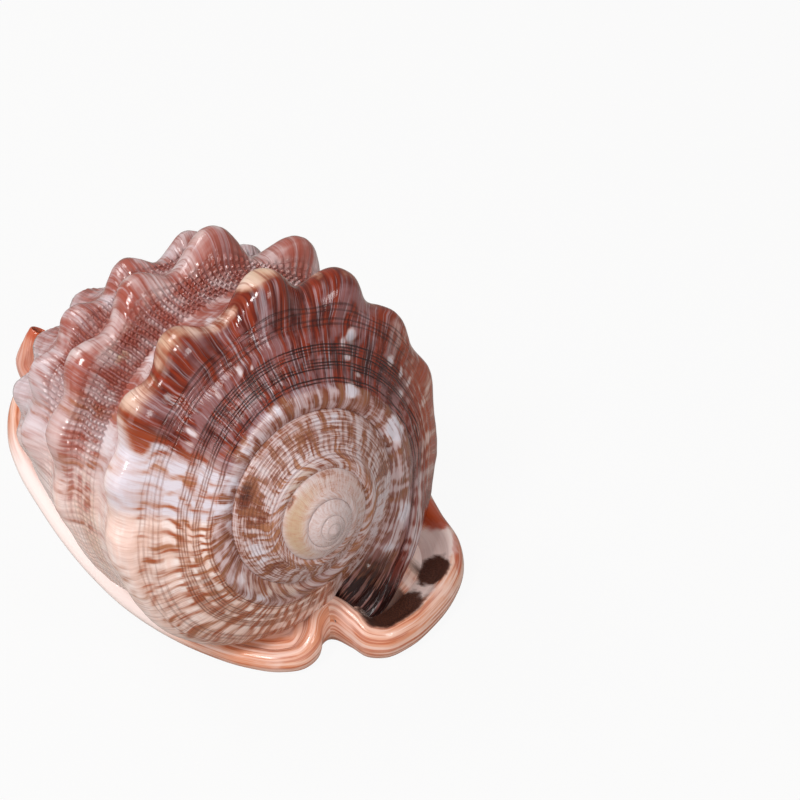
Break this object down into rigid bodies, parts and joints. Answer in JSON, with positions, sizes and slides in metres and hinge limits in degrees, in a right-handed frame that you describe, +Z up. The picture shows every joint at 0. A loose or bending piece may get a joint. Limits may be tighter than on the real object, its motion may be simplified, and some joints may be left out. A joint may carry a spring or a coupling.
{
  "type": "helmet shell",
  "caption": "Bullmouth helmet seashell with a low coiled spire, rows of blunt knobs, a broad flat lip and shield around a narrow toothed mouth, and an upturned canal.",
  "frame": {"origin": "centre of the bounding box on the surface that the shell rests on", "axes": "+Y from the spire towards the siphonal canal, +X towards the outer lip, +Z up from the resting face"},
  "size_m": [0.1134, 0.1403, 0.0911],
  "materials": {
    "shell": "glossy"
  },
  "bodies": {
    "root": {"helmet_shell": "shell"}
  },
  "joints": []
}
